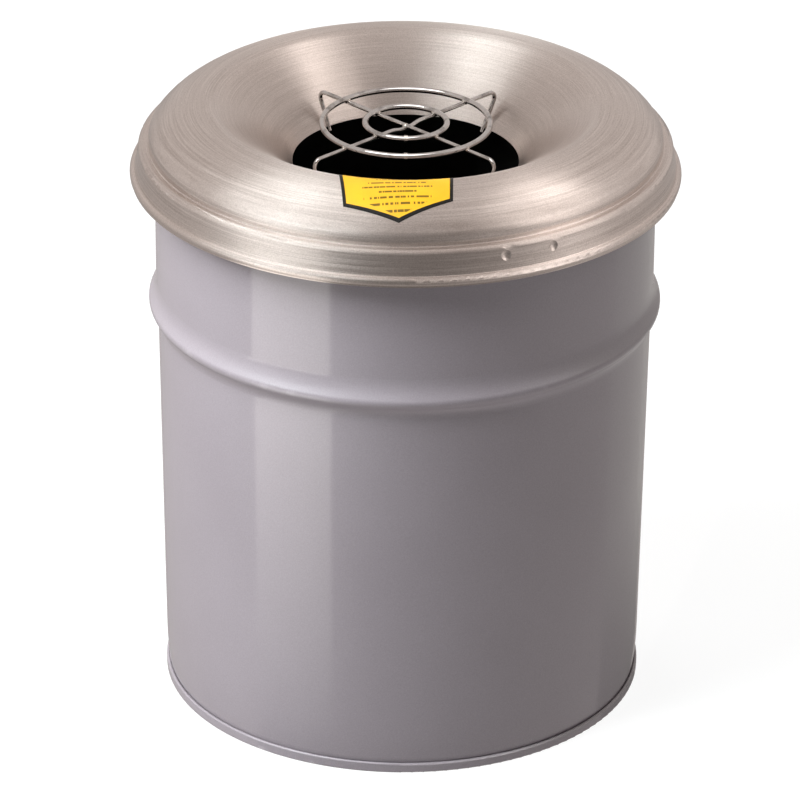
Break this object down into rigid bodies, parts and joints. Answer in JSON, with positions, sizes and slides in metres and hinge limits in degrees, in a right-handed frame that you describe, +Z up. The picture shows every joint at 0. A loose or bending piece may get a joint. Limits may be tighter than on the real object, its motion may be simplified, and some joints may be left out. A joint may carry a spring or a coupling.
{
  "type": "fire-safe waste receptacle",
  "caption": "Round painted steel waste drum with a lift-off funnel-shaped aluminium smothering head and a wire grille standing in its throat.",
  "frame": {"origin": "middle of the circle on which the drum's bottom seam stands", "axes": "+Z up along the drum's axis, -Y towards the label, +X to the viewer's right"},
  "size_m": [0.302, 0.302, 0.3441],
  "materials": {
    "drum_paint": "semi-gloss",
    "seam_compound": "matte",
    "spun_aluminium": "brushed",
    "label_film": "satin",
    "plated_wire": "bright"
  },
  "bodies": {
    "drum": {"drum_shell": "drum_paint", "drum_bottom": "drum_paint", "seam_compound": "seam_compound", "side_seam_weld": "drum_paint"},
    "head": {"head_shell": "spun_aluminium", "label": "label_film"},
    "grille": {"outer_ring": "plated_wire", "inner_ring": "plated_wire", "lower_cross_wire": "plated_wire", "upper_cross_wire": "plated_wire", "outer_ring_joint_weld": "plated_wire", "inner_ring_joint_weld": "plated_wire", "centre_weld": "plated_wire", "outer_weld_front_left": "plated_wire", "outer_weld_front_right": "plated_wire", "outer_weld_rear_left": "plated_wire", "outer_weld_rear_right": "plated_wire", "inner_weld_front_left": "plated_wire", "inner_weld_front_right": "plated_wire", "inner_weld_rear_left": "plated_wire", "inner_weld_rear_right": "plated_wire"}
  },
  "joints": [
    {"name": "head_lift", "type": "slide", "parent": "drum", "child": "head", "axis": [0, 0, 1], "range_m": [0, 0.12]},
    {"name": "grille_lift", "type": "slide", "parent": "head", "child": "grille", "axis": [0, 0, 1], "range_m": [0, 0.06]}
  ]
}
